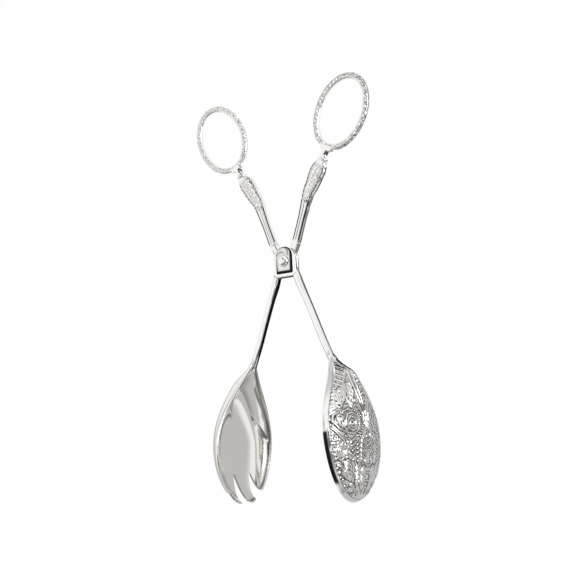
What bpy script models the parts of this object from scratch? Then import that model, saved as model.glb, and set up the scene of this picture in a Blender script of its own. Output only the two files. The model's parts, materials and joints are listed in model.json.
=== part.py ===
"""Scissor-action salad tongs in plated metal: a spoon arm and a fork arm that cross on one rivet.

Each arm is a cast finger ring, a neck collar, a fluted cast handle, a forged shank with a
flat lug, and a pressed bowl, brazed end to end. The tongs are modelled lying on a table:
finger rings towards +Y, bowls towards -Y, spoon towards +X, fork towards -X.

An arm is drawn in its own frame, with the pivot at the origin, the rings up +Y and the
rivet along Z. The fork arm is the same drawing turned half way round about Y.
"""
import math

import bmesh
import bpy
from mathutils import Matrix, Vector

MM = 0.001

# Clearances
seat_gap = 0.3 * MM
running_gap = 0.3 * MM
cut_overrun = 2.0 * MM

# Finger ring
ring_length = 50.6 * MM
ring_width = 37.8 * MM
ring_band_width = 4.4 * MM
ring_band_thickness = 3.4 * MM
ring_lean = math.radians(27.2)
ring_stations = 48

# Neck between ring and handle, with its collar
neck_out = 31.1 * MM
neck_up = 61.3 * MM
neck_waist_width = 4.4 * MM
neck_waist_thickness = 3.6 * MM
neck_root_width = 12.0 * MM
collar_length = 2.2 * MM
collar_width = 7.4 * MM
collar_thickness = 5.4 * MM
ring_stem_reach = 31.63 * MM
ring_stem_lean = math.radians(28.1)

# Handle
handle_width = 11.6 * MM
handle_thickness = 4.8 * MM
handle_flute_depth = 0.55 * MM
handle_foot_out = 8.4 * MM
handle_foot_up = 11.4 * MM

# Lug of the lap joint
lug_width = 16.4 * MM
lug_top = 9.5 * MM
lug_bottom = 10.0 * MM
lug_thickness = 2.6 * MM
lug_corner_radius = 3.0 * MM

# Shank
shank_width = 4.5 * MM
shank_thickness = 4.0 * MM
shank_foot_out = 27.6 * MM
shank_foot_down = 60.8 * MM
scarf_slope = -1.6

# Bowls
bowl_length = 91.0 * MM
bowl_width = 61.0 * MM
bowl_depth = 12.8 * MM
bowl_wall = 1.6 * MM
bowl_root_width = 4.6 * MM
bowl_root_lean = math.radians(16.4)
bowl_tip_lean = math.radians(-2.8)
tang_length = 10.0 * MM

# Fork tines
slit_pitch = 15.0 * MM
slit_width = 1.6 * MM
slit_length = 20.0 * MM
inner_tine_out = 7.4 * MM
inner_tine_tip_width = 5.6 * MM
inner_tine_setback = 1.2 * MM
outer_tine_out = 19.0 * MM
outer_tine_tip_width = 2.8 * MM
outer_tine_setback = 8.4 * MM

# Pivot hardware
rivet_radius = 2.2 * MM
rivet_head_radius = 3.7 * MM
rivet_head_height = 1.9 * MM
rivet_tail_radius = 3.5 * MM
rivet_tail_height = 1.1 * MM
plate_width = 10.8 * MM
plate_top = 8.7 * MM
plate_bottom = 7.2 * MM
plate_thickness = 1.0 * MM
plate_recess = 0.5 * MM
plate_corner_radius = 0.4 * MM
plate_seat_corner_radius = 0.6 * MM
washer_radius = 5.6 * MM
washer_thickness = 0.8 * MM

# Plating colour, roughness and metallic value of each kind of piece
finishes = {
    "cast": ((0.86, 0.86, 0.85, 1.0), 0.22, 1.0),
    "polished": ((0.92, 0.92, 0.91, 1.0), 0.08, 1.0),
    "pressed": ((0.89, 0.89, 0.88, 1.0), 0.12, 1.0),
    "steel": ((0.70, 0.70, 0.69, 1.0), 0.20, 1.0),
}


def clear_scene():
    for item in list(bpy.data.objects):
        bpy.data.objects.remove(item, do_unlink=True)


def plating(name, finish):
    colour, roughness, metallic = finishes[finish]
    material = bpy.data.materials.new(name)
    material.use_nodes = True
    shader = material.node_tree.nodes["Principled BSDF"]
    shader.inputs["Base Color"].default_value = colour
    shader.inputs["Roughness"].default_value = roughness
    shader.inputs["Metallic"].default_value = metallic
    material.diffuse_color = colour
    return material


def add_object(name, bm, parent, finish=None):
    """Turn a bmesh into an object under an arm. One with no finish is a guide for a Boolean."""
    bmesh.ops.recalc_face_normals(bm, faces=bm.faces)
    mesh = bpy.data.meshes.new(name)
    bm.to_mesh(mesh)
    bm.free()
    obj = bpy.data.objects.new(name, mesh)
    bpy.context.collection.objects.link(obj)
    obj.parent = parent
    if finish:
        mesh.materials.append(plating(name, finish))
        mesh.shade_smooth()
        mesh.set_sharp_from_angle(angle=math.radians(35.0))
    else:
        obj.hide_render = True
        obj.display_type = "WIRE"
    return obj


def combine(obj, other, operation):
    """Join, cut or intersect with another solid, which stays as a hidden guide."""
    modifier = obj.modifiers.new(other.name, "BOOLEAN")
    modifier.operation = operation
    modifier.solver = "EXACT"
    modifier.object = other


def oval(half_width, half_height, squareness, count):
    """Points round a superellipse, flatter on its sides as squareness rises above 2."""
    points = []
    for index in range(count):
        angle = math.tau * index / count
        x, y = math.cos(angle), math.sin(angle)
        points.append((half_width * math.copysign(abs(x) ** (2.0 / squareness), x),
                       half_height * math.copysign(abs(y) ** (2.0 / squareness), y)))
    return points


def blend(table, share):
    """Read a table of (share along, value) rows with an eased step between rows."""
    for (start, low), (end, high) in zip(table, table[1:]):
        if share <= end:
            step = (share - start) / (end - start)
            return low + (high - low) * (3.0 - 2.0 * step) * step * step
    return table[-1][1]


def curve_through(knots, steps):
    """Points on a smooth curve that passes through every knot, steps between each pair."""
    padded = [2.0 * knots[0] - knots[1], *knots, 2.0 * knots[-1] - knots[-2]]
    points = []
    for a, b, c, d in zip(padded, padded[1:], padded[2:], padded[3:]):
        for index in range(steps):
            t = index / steps
            points.append(0.5 * (2.0 * b + (c - a) * t + (2.0 * a - 5.0 * b + 4.0 * c - d) * t ** 2
                                 + (3.0 * b - a - 3.0 * c + d) * t ** 3))
    return points + [knots[-1].copy()]


def lengths_along(points):
    """Share of the whole length at each point of a path."""
    runs = [0.0]
    for a, b in zip(points, points[1:]):
        runs.append(runs[-1] + (b - a).length)
    return [run / runs[-1] for run in runs]


def sweep(points, outlines, start_scarf=0.0, end_scarf=0.0):
    """Skin over outlines that stand square to a path lying in the plane of the tongs.

    A scarf slants an end: it is how far the end leans along the path per unit across it.
    """
    bm = bmesh.new()
    loops = []
    for index, (point, outline) in enumerate(zip(points, outlines)):
        ahead = points[min(index + 1, len(points) - 1)] - points[max(index - 1, 0)]
        along = ahead.normalized()
        across = Vector((-along.y, along.x, 0.0))
        scarf = start_scarf if index == 0 else end_scarf if index == len(points) - 1 else 0.0
        loops.append([bm.verts.new(point + across * u + along * (u * scarf) + Vector((0.0, 0.0, v)))
                      for u, v in outline])
    for low, high in zip(loops, loops[1:]):
        for k in range(len(low)):
            bm.faces.new((low[k - 1], low[k], high[k], high[k - 1]))
    bm.faces.new(reversed(loops[0]))
    bm.faces.new(loops[-1])
    return bm


def prism(outline, low, high):
    """A flat outline in X and Y stood up from one height to another."""
    bm = bmesh.new()
    bottom = [bm.verts.new((x, y, low)) for x, y in outline]
    top = [bm.verts.new((x, y, high)) for x, y in outline]
    for k in range(len(outline)):
        bm.faces.new((bottom[k - 1], bottom[k], top[k], top[k - 1]))
    bm.faces.new(reversed(bottom))
    bm.faces.new(top)
    return bm


def turned(profile, segments=24):
    """A solid of revolution about Z from (radius, height) points that start and end on the axis."""
    bm = bmesh.new()
    rings = []
    for radius, height in profile:
        if radius == 0.0:
            rings.append([bm.verts.new((0.0, 0.0, height))])
            continue
        rings.append([bm.verts.new((radius * math.cos(math.tau * k / segments),
                                    radius * math.sin(math.tau * k / segments), height))
                      for k in range(segments)])
    for low, high in zip(rings, rings[1:]):
        for k in range(segments):
            lower = low if len(low) == 1 else [low[k - 1], low[k]]
            upper = high if len(high) == 1 else [high[k], high[k - 1]]
            bm.faces.new(lower + upper)
    return bm


def arc(centre_x, centre_y, radius, start, end, steps):
    """Points on an arc between two angles in degrees."""
    angles = [math.radians(start + (end - start) * k / steps) for k in range(steps + 1)]
    return [(centre_x + radius * math.cos(a), centre_y + radius * math.sin(a)) for a in angles]


def arched_outline(width, top, bottom, corner_radius):
    """A tombstone outline: round head, straight sides and a flat foot with eased corners."""
    half = width / 2.0
    side = half - corner_radius
    foot = corner_radius - bottom
    return (arc(0.0, top - half, half, 0.0, 180.0, 18)
            + arc(-side, foot, corner_radius, 180.0, 270.0, 5)
            + arc(side, foot, corner_radius, 270.0, 360.0, 5))


# Where the collar sits, and which way the handle and the ring's stem reach it
collar_centre = Vector((-neck_out, neck_up, 0.0))
stem_direction = Vector((-math.sin(ring_stem_lean), math.cos(ring_stem_lean), 0.0))
ring_centre = collar_centre + stem_direction * ring_stem_reach
handle_foot = Vector((-handle_foot_out, handle_foot_up, 0.0))
collar_half = collar_length / 2.0 + seat_gap

# The handle's centre line bows outwards: places between its foot and the collar, as shares
handle_bow_shares = ((0.055, 0.064), (0.259, 0.328), (0.461, 0.588), (0.634, 0.718), (0.767, 0.834))
handle_run = collar_centre - handle_foot
handle_knots = [handle_foot]
for out_share, up_share in handle_bow_shares:
    handle_knots.append(handle_foot + Vector((handle_run.x * out_share, handle_run.y * up_share, 0.0)))
handle_width_shares = ((0.0, 0.54), (0.12, 0.52), (0.27, 0.52), (0.42, 0.60), (0.55, 0.73), (0.68, 0.87),
                       (0.80, 0.96), (0.88, 1.0), (0.95, 0.86), (1.0, 0.58))
handle_knots.append(collar_centre - stem_direction * collar_half)

# Stack of pieces on the rivet, upwards from the middle of the joint
lug_floor = running_gap / 2.0
lug_face = lug_floor + lug_thickness
plate_floor = lug_face - plate_recess + seat_gap
plate_face = plate_floor + plate_thickness
bore_radius = rivet_radius + running_gap
lug_corner_out = lug_width / 2.0 - lug_corner_radius
lug_corner_down = lug_bottom - lug_corner_radius
lug_reach = math.hypot(lug_corner_out, lug_corner_down) + lug_corner_radius

# The shank leaves the lug near its corner and runs almost straight to the bowl
shank_root_shares = (0.34, 0.5)
shank_root = Vector((lug_width * shank_root_shares[0], -lug_bottom * shank_root_shares[1], 0.0))
shank_foot = Vector((shank_foot_out, -shank_foot_down, 0.0))
shank_bow_shares = ((0.095, 0.094), (0.168, 0.182), (0.348, 0.353), (0.578, 0.582), (0.803, 0.815))
shank_run = shank_foot - shank_root
shank_knots = [shank_root]
for out_share, down_share in shank_bow_shares:
    shank_knots.append(shank_root + Vector((shank_run.x * out_share, shank_run.y * down_share, 0.0)))
shank_path = curve_through([*shank_knots, shank_foot], 3)

# The bowl starts one gap past the shank's slanted end
shank_end_direction = (shank_path[-1] - shank_path[-2]).normalized()
bowl_root = shank_foot + shank_end_direction * (seat_gap * math.hypot(1.0, scarf_slope))


def finger_ring(name, arm):
    """Cast ring band with the stem that reaches down to the collar."""
    band_shares = ((1.0, -0.38), (1.0, 0.38), (0.86, 0.78), (0.52, 1.0), (-0.52, 1.0), (-0.86, 0.78),
                   (-1.0, 0.38), (-1.0, -0.38), (-0.86, -0.78), (-0.52, -1.0), (0.52, -1.0), (0.86, -0.78))
    band = [(ring_band_width / 2.0 * u, ring_band_thickness / 2.0 * v) for u, v in band_shares]
    long_way = Vector((-math.sin(ring_lean), math.cos(ring_lean), 0.0))
    wide_way = Vector((math.cos(ring_lean), math.sin(ring_lean), 0.0))
    half_long = (ring_length - ring_band_width) / 2.0
    half_wide = (ring_width - ring_band_width) / 2.0
    bm = bmesh.new()
    loops = []
    for station in range(ring_stations):
        angle = math.tau * station / ring_stations
        cosine, sine = math.cos(angle), math.sin(angle)
        centre = ring_centre + long_way * (half_long * cosine) + wide_way * (half_wide * sine)
        outward = (long_way * (half_wide * cosine) + wide_way * (half_long * sine)).normalized()
        loops.append([bm.verts.new(centre + outward * u + Vector((0.0, 0.0, v))) for u, v in band])
    for station in range(ring_stations):
        low, high = loops[station - 1], loops[station]
        for k in range(len(band)):
            bm.faces.new((low[k - 1], low[k], high[k], high[k - 1]))
    ring = add_object(name, bm, arm, "cast")

    stem_top = ring_centre - stem_direction * (ring_length - ring_band_width) / 2.0
    stem_base = collar_centre + stem_direction * collar_half
    stem_width_shares = ((0.0, 1.0), (0.22, 0.74), (0.62, 0.0), (0.8, 0.0), (1.0, 0.10))
    stem_depth_share = 0.94
    points = [stem_top.lerp(stem_base, k / 10) for k in range(11)]
    outlines = []
    for share in lengths_along(points):
        width = neck_waist_width + (neck_root_width - neck_waist_width) * blend(stem_width_shares, share)
        thinner = (neck_waist_thickness - ring_band_thickness) * share
        thickness = ring_band_thickness * stem_depth_share + thinner
        outlines.append(oval(width / 2.0, thickness / 2.0, 2.4, 16))
    stem = add_object(name + "_stem", sweep(points, outlines), arm)
    combine(ring, stem, "UNION")
    return ring


def neck_collar(name, arm):
    """Plain bead that covers the brazed joint between ring and handle."""
    end_slope_share = 0.72
    points = []
    outlines = []
    for k in range(7):
        share = k / 6
        swell = math.sqrt(1.0 - (end_slope_share * (2.0 * share - 1.0)) ** 2)
        points.append(collar_centre + stem_direction * collar_length * (0.5 - share))
        outlines.append(oval(collar_width / 2.0 * swell, collar_thickness / 2.0 * swell, 2.2, 20))
    return add_object(name, sweep(points, outlines), arm, "polished")


def handle(name, arm):
    """Cast handle, broad below the collar, with a shallow flute down its front and back."""
    thickness_shares = ((0.0, 1.0), (0.45, 0.86), (0.85, 1.0), (1.0, 0.92))
    flute_shares = ((0.0, 0.0), (0.08, 1.0), (0.90, 1.0), (0.98, 0.0), (1.0, 0.0))
    flute_reach_share = 0.42
    points = curve_through(handle_knots, 4)
    end_direction = (points[-1] - points[-2]).normalized()
    end_across = Vector((-end_direction.y, end_direction.x, 0.0))
    collar_scarf = -end_across.dot(stem_direction) / end_direction.dot(stem_direction)
    outlines = []
    for share in lengths_along(points):
        half_width = handle_width / 2.0 * blend(handle_width_shares, share)
        half_thickness = handle_thickness / 2.0 * blend(thickness_shares, share)
        depth = handle_flute_depth * blend(flute_shares, share)
        outline = []
        for u, v in oval(half_width, half_thickness, 2.6, 24):
            hollow = depth * math.exp(-(u / (half_width * flute_reach_share)) ** 2)
            outline.append((u, v - math.copysign(min(hollow, abs(v)), v)))
        outlines.append(outline)
    return add_object(name, sweep(points, outlines, end_scarf=collar_scarf), arm, "cast")


def shank(name, arm, takes_plate):
    """Forged shank: a flat lug at the pivot, a stub for the handle and a slim rod to the bowl."""
    lug = prism(arched_outline(lug_width, lug_top, lug_bottom, lug_corner_radius), lug_floor, lug_face)
    piece = add_object(name, lug, arm, "polished")

    width_shares = ((0.0, 1.2), (0.14, 1.14), (0.34, 1.0), (0.86, 1.0), (1.0, 0.96))
    depth_shares = ((0.0, 1.27), (0.12, 1.24), (0.38, 1.0), (1.0, 1.0))
    outlines = [oval(shank_width / 2.0 * blend(width_shares, share),
                     shank_thickness / 2.0 * blend(depth_shares, share), 2.3, 16)
                for share in lengths_along(shank_path)]
    rod = add_object(name + "_rod", sweep(shank_path, outlines, end_scarf=scarf_slope), arm)
    combine(piece, rod, "UNION")

    stub_root_shares = (0.30, 0.45)
    stub_bend_share = 0.7
    foot_direction = (handle_knots[1] - handle_foot).normalized()
    stub_top = handle_foot - foot_direction * seat_gap
    stub_root = Vector((-lug_width * stub_root_shares[0], lug_top * stub_root_shares[1], 0.0))
    stub_outline = oval(handle_width / 2.0 * handle_width_shares[0][1], handle_thickness / 2.0, 2.6, 24)
    stub_points = [stub_root, stub_root.lerp(stub_top, stub_bend_share), stub_top - foot_direction * seat_gap,
                   stub_top]
    stub = add_object(name + "_stub", sweep(stub_points, [stub_outline] * len(stub_points)), arm)
    combine(piece, stub, "UNION")

    handle_side = arc(0.0, 0.0, lug_top + running_gap, 0.0, 180.0, 24)
    bowl_side = arc(0.0, 0.0, lug_reach + running_gap, 180.0, 360.0, 24)
    lap = add_object(name + "_lap", prism(handle_side + bowl_side, -lug_face - cut_overrun, lug_floor), arm)
    combine(piece, lap, "DIFFERENCE")

    round_hole = arc(0.0, 0.0, bore_radius, 0.0, 345.0, 23)
    bore = add_object(name + "_bore", prism(round_hole, lug_floor - cut_overrun, lug_face + cut_overrun), arm)
    combine(piece, bore, "DIFFERENCE")
    if takes_plate:
        outline = arched_outline(plate_width + 2.0 * seat_gap, plate_top + seat_gap, plate_bottom + seat_gap,
                                 plate_seat_corner_radius)
        recess = prism(outline, lug_face - plate_recess, lug_face + cut_overrun)
        seat = add_object(name + "_seat", recess, arm)
        combine(piece, seat, "DIFFERENCE")
    return piece


def bowl_half_width(share):
    """Half width of the bowl at a share of its length from root to tip."""
    widest_share = 0.588
    half = bowl_width / 2.0
    root = bowl_root_width / 2.0
    if share > widest_share:
        reach = (share - widest_share) / (1.0 - widest_share)
        return half * math.sqrt(max(0.0, 1.0 - reach ** 1.9))
    return root + (half - root) * math.sin(math.pi / 2.0 * share / widest_share) ** 1.32


def bowl_point(along, outward, across):
    """A point of the bowl from its place along the arched rim, out of its back and across it."""
    arch = bowl_tip_lean - bowl_root_lean
    lean = bowl_root_lean + arch * along / bowl_length
    radius = bowl_length / arch
    rim = Vector((radius * (math.cos(bowl_root_lean) - math.cos(lean)),
                  radius * (math.sin(bowl_root_lean) - math.sin(lean)), across))
    return bowl_root + rim + Vector((math.cos(lean), math.sin(lean), 0.0)) * outward


def bowl_face(bm, inset):
    """One face of the bowl as loops of corners, from round its lowest point out to its rim."""
    middle_share = 0.5
    depth_shares = (0.24, 0.45, 0.62, 0.76, 0.87, 0.945, 0.985, 1.0)
    heel_shares = ((0.0, 0.38), (0.20, 1.27), (0.60, 1.0), (1.0, 1.0))
    reach = bowl_length * (1.0 - middle_share) - inset
    rim = []
    for k in range(25):
        share = 0.5 + 0.5 * math.cos(math.pi * k / 24)
        rim.append((share, bowl_half_width(share) - inset * math.sin(math.pi * share)))
    rim += [(share, -half) for share, half in reversed(rim[1:])]
    loops = []
    for out_share in depth_shares:
        loop = []
        for share, half in rim:
            along = bowl_length * middle_share + reach * (2.0 * share - 1.0) * out_share
            dome = (1.0 - out_share ** 2.3) ** 0.55 * blend(heel_shares, along / bowl_length)
            loop.append(bm.verts.new(bowl_point(along, (bowl_depth - inset) * dome, half * out_share)))
        loops.append(loop)
    keel = bm.verts.new(bowl_point(bowl_length * middle_share, bowl_depth - inset, 0.0))
    for k in range(len(rim)):
        bm.faces.new((keel, loops[0][k - 1], loops[0][k]))
    for inner, outer in zip(loops, loops[1:]):
        for k in range(len(rim)):
            bm.faces.new((inner[k - 1], inner[k], outer[k], outer[k - 1]))
    return loops[-1]


def bowl_shell(name, arm):
    """Pressed bowl: a domed back, a hollow a wall's thickness inside it, and the rim between."""
    bm = bmesh.new()
    back_rim = bowl_face(bm, 0.0)
    hollow_rim = bowl_face(bm, bowl_wall)
    for k in range(len(back_rim)):
        bm.faces.new((back_rim[k - 1], back_rim[k], hollow_rim[k], hollow_rim[k - 1]))
    return add_object(name, bm, arm, "pressed")


def bowl_tang(name, bowl, arm):
    """Solid root of the bowl, flattened into its trough and scarfed to meet the shank."""
    along_shares = (0.0, 0.45, 0.62, 0.8, 1.0)
    outward_shares = ((0.0, 0.0), (0.45, 0.13), (1.0, 0.34))
    width_shares = ((0.0, 0.96), (0.5, 1.2), (1.0, 1.3))
    depth_shares = ((0.0, 0.96), (0.45, 0.66), (1.0, 0.2))
    points = []
    outlines = []
    for share in along_shares:
        points.append(bowl_root + shank_end_direction * tang_length * share)
        outward = bowl_depth * blend(outward_shares, share)
        outlines.append([(u + outward, v) for u, v in oval(shank_width / 2.0 * blend(depth_shares, share),
                                                           shank_thickness / 2.0 * blend(width_shares, share),
                                                           2.3, 16)])
    tang = add_object(name, sweep(points, outlines, start_scarf=scarf_slope), arm)
    combine(bowl, tang, "UNION")


def tine_plan():
    """The fork's outline seen through the bowl: open at the root, cut into tines at the tip."""
    outer_tip = outer_tine_tip_width / 2.0
    inner_tip = inner_tine_tip_width / 2.0
    slit = slit_width / 2.0
    slit_root = bowl_length - slit_length + slit
    outer_end = bowl_length - outer_tine_setback - outer_tip
    inner_end = bowl_length - inner_tine_setback - inner_tip
    beyond = bowl_width / 2.0 + cut_overrun
    half = [(beyond, -cut_overrun), (beyond, outer_end)]
    half += arc(outer_tine_out, outer_end, outer_tip, 0.0, 180.0, 6)
    half += arc(slit_pitch, slit_root, slit, 0.0, -180.0, 6)
    half += arc(inner_tine_out, inner_end, inner_tip, 0.0, 180.0, 8)
    half += arc(0.0, slit_root, slit, 0.0, -90.0, 3)
    return half + [(-across, along) for across, along in reversed(half[:-1])]


def fork_bowl(name, arm):
    """Pressed bowl with its tip cut into four round-ended tines."""
    bowl = bowl_shell(name, arm)
    bm = bmesh.new()
    low = [bm.verts.new(bowl_point(along, -bowl_depth, across)) for across, along in tine_plan()]
    high = [bm.verts.new(bowl_point(along, 2.0 * bowl_depth, across)) for across, along in tine_plan()]
    for k in range(len(low)):
        bm.faces.new((low[k - 1], low[k], high[k], high[k - 1]))
    bm.faces.new(reversed(low))
    bm.faces.new(high)
    combine(bowl, add_object(name + "_tines", bm, arm), "INTERSECT")
    bowl_tang(name + "_tang", bowl, arm)
    return bowl


def spoon_bowl(name, arm):
    """Pressed bowl with a plain oval tip."""
    bowl = bowl_shell(name, arm)
    bowl_tang(name + "_tang", bowl, arm)
    return bowl


def pivot_plate(name, arm):
    """Arched plate let into the front lug under the rivet head."""
    outline = arched_outline(plate_width, plate_top, plate_bottom, plate_corner_radius)
    plate = add_object(name, prism(outline, plate_floor, plate_face), arm, "polished")
    round_hole = arc(0.0, 0.0, bore_radius, 0.0, 345.0, 23)
    through = prism(round_hole, plate_floor - cut_overrun, plate_face + cut_overrun)
    hole = add_object(name + "_bore", through, arm)
    combine(plate, hole, "DIFFERENCE")
    return plate


def pivot_washer(name, arm):
    """Flat washer under the rivet's closed end, behind the back lug."""
    face = -(lug_face + seat_gap)
    back = face - washer_thickness
    ring = prism(arc(0.0, 0.0, washer_radius, 0.0, 352.5, 47), back, face)
    washer = add_object(name, ring, arm, "steel")
    round_hole = arc(0.0, 0.0, bore_radius, 0.0, 345.0, 23)
    hole = add_object(name + "_bore", prism(round_hole, back - cut_overrun, face + cut_overrun), arm)
    combine(washer, hole, "DIFFERENCE")
    return washer


def pivot_rivet(name, arm):
    """Rivet with a domed head in front, closed down into a low button behind."""
    head_floor = plate_face + seat_gap
    tail_top = -(lug_face + seat_gap + washer_thickness + seat_gap)
    profile = [(0.0, tail_top - rivet_tail_height)]
    for k in range(1, 5):
        angle = math.pi / 2.0 * k / 4
        profile.append((rivet_tail_radius * math.sin(angle), tail_top - rivet_tail_height * math.cos(angle)))
    profile += [(rivet_radius, tail_top), (rivet_radius, head_floor)]
    for k in range(7):
        angle = math.pi / 2.0 * k / 7
        height = head_floor + rivet_head_height * math.sin(angle)
        profile.append((rivet_head_radius * math.cos(angle), height))
    profile.append((0.0, head_floor + rivet_head_height))
    return add_object(name, turned(profile), arm, "polished")


def resting_tilt(points):
    """Angle that brings the rings and the bowls' lower edges down onto one plane."""
    rings = [p for p in points if p.y > 0.0]
    bowls = [p for p in points if p.y < 0.0]
    tilt = 0.0
    for _ in range(20):
        turn = Matrix.Rotation(tilt, 4, "X")
        ring_low = min((turn @ p for p in rings), key=lambda p: p.z)
        bowl_low = min((turn @ p for p in bowls), key=lambda p: p.z)
        tilt -= math.atan2(ring_low.z - bowl_low.z, ring_low.y - bowl_low.y)
    return tilt


def solid_points(pieces):
    """World positions of every corner of the finished pieces."""
    bpy.context.view_layer.update()
    graph = bpy.context.evaluated_depsgraph_get()
    points = []
    for piece in pieces:
        finished = piece.evaluated_get(graph)
        points += [finished.matrix_world @ corner.co for corner in finished.data.vertices]
    return points


clear_scene()
tongs = bpy.data.objects.new("tongs", None)
spoon_arm = bpy.data.objects.new("spoon_arm", None)
fork_arm = bpy.data.objects.new("fork_arm", None)
for empty in (tongs, spoon_arm, fork_arm):
    bpy.context.collection.objects.link(empty)
spoon_arm.parent = tongs
fork_arm.parent = tongs
fork_arm.rotation_euler = (0.0, math.pi, 0.0)

solids = [
    finger_ring("spoon_arm_ring", spoon_arm),
    neck_collar("spoon_arm_collar", spoon_arm),
    handle("spoon_arm_handle", spoon_arm),
    shank("spoon_arm_shank", spoon_arm, takes_plate=True),
    spoon_bowl("spoon_bowl", spoon_arm),
    pivot_plate("pivot_plate", spoon_arm),
    pivot_rivet("pivot_rivet", spoon_arm),
    pivot_washer("pivot_washer", spoon_arm),
    finger_ring("fork_arm_ring", fork_arm),
    neck_collar("fork_arm_collar", fork_arm),
    handle("fork_arm_handle", fork_arm),
    shank("fork_arm_shank", fork_arm, takes_plate=False),
    fork_bowl("fork_bowl", fork_arm),
]

# Lay the tongs down and put the middle of their footprint at the origin
tongs.rotation_euler = (resting_tilt(solid_points(solids)), 0.0, 0.0)
corners = solid_points(solids)
tongs.location = (-(min(p.x for p in corners) + max(p.x for p in corners)) / 2.0,
                  -(min(p.y for p in corners) + max(p.y for p in corners)) / 2.0,
                  -min(p.z for p in corners))
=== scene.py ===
"""Scissor-action salad servers in bright silver plate, as the finished object looks.

An arm is drawn in its own frame, in metres: the pivot at the origin, the finger rings up +Y
and the rivet along Z. The fork arm is the same drawing turned half way round about Y.
"""

import json
from math import asin, cos, hypot, pi, radians, sin, sqrt, tau

import bmesh
import bpy
import numpy as np
from mathutils import Matrix, Vector


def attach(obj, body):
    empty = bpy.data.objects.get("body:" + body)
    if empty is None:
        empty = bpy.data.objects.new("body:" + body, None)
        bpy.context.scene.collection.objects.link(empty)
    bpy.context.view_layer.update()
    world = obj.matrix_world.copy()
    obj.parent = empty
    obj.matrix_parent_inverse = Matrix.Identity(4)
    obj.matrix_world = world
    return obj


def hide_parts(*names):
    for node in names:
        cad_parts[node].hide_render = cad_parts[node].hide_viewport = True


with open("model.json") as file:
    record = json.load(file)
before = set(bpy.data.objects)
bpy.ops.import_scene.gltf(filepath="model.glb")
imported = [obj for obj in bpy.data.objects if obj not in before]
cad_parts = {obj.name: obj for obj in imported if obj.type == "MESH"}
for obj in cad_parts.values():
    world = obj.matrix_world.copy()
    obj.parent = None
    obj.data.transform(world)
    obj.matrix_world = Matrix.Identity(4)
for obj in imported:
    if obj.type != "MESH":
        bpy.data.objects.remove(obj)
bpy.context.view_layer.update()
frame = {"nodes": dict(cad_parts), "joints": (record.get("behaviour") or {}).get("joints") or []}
MM = 0.001

# Shanks
# Each arm's middle is one forging in brass, silver plated and mirror polished. Its flat lug is
# lapped on the other arm's and riveted, and its ends are brazed to the handle and to the bowl.
# Painted shade darkens the pivot plate's seat, and a painted dark reflection runs along the inner side of the fork
# arm's rod.
hinge = frame["joints"][0]
rivet_line = Vector(hinge["axis"])
spoon_side = Vector((1, 0, 0))
spoon_place = Matrix((spoon_side, rivet_line.cross(spoon_side), rivet_line)).transposed().to_4x4()
spoon_place.translation = Vector(hinge["pos_m"])
arm_places = {"spoon_arm": spoon_place, "fork_arm": spoon_place @ Matrix.Rotation(pi, 4, "Y")}
# Dark tone for tarnish, also used for painted shade and painted dark reflections.
tarnish_and_painted_shade_tone = (0.025, 0.023, 0.021, 1)


def fed(tree, node, values):
    """Give a node's inputs their values: numbers, colours or sockets to link."""
    for key, value in values.items():
        if isinstance(value, bpy.types.NodeSocket):
            tree.links.new(value, node.inputs[key])
        else:
            node.inputs[key].default_value = value
    return node


def made(tree, kind, values):
    """A new node with its inputs given."""
    return fed(tree, tree.nodes.new(kind), values)


def maths(tree, operation, *values):
    """A Math node's result, from sockets and numbers."""
    node = tree.nodes.new("ShaderNodeMath")
    node.operation = operation
    return fed(tree, node, dict(enumerate(values))).outputs[0]


def product(tree, first, *others):
    """Sockets and numbers multiplied together."""
    for other in others:
        first = maths(tree, "MULTIPLY", first, other)
    return first


def blended(tree, share, first, second):
    """A colour between two others."""
    node = tree.nodes.new("ShaderNodeMix")
    node.data_type = "RGBA"
    return fed(tree, node, {"Factor": share, "A": first, "B": second}).outputs["Result"]


def node_group(name, kind, inputs, outputs):
    """A node group with named sockets, from (name, type) pairs, and the nodes at its two ends."""
    tree = bpy.data.node_groups.new(name, kind)
    for way, sockets in (("INPUT", inputs), ("OUTPUT", outputs)):
        for socket, socket_type in sockets:
            tree.interface.new_socket(socket, in_out=way, socket_type="NodeSocket" + socket_type)
    return tree, tree.nodes.new("NodeGroupInput"), tree.nodes.new("NodeGroupOutput")


def polish_group():
    """Fine wiping marks and a faint wave in the plate: roughness to add, tint and height."""
    tree, given, result = node_group(
        "plate_polish", "ShaderNodeTree",
        (("Place", "Vector"), ("Marks per metre", "Float"), ("Marks", "Float"), ("Clouds per metre", "Float")),
        (("Roughness added", "Float"), ("Tint", "Float"), ("Height", "Float")))
    given = given.outputs
    stretch = tree.nodes.new("ShaderNodeVectorMath")
    stretch.operation = "MULTIPLY"
    fed(tree, stretch, {0: given["Place"], 1: (1, 0.22, 1)})
    wiped = made(tree, "ShaderNodeTexNoise", {"Vector": stretch.outputs[0], "Scale": given["Marks per metre"],
                                              "Detail": 6, "Roughness": 0.7})
    cloud = made(tree, "ShaderNodeTexNoise", {"Vector": given["Place"], "Scale": given["Clouds per metre"],
                                              "Detail": 3})
    wave = made(tree, "ShaderNodeTexNoise", {"Vector": given["Place"], "Scale": 160, "Detail": 1})
    fed(tree, result, {"Roughness added": product(tree, wiped.outputs["Fac"], given["Marks"]),
                       "Tint": cloud.outputs["Fac"], "Height": wave.outputs["Fac"]})
    return tree


plate_polish = polish_group()


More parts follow.
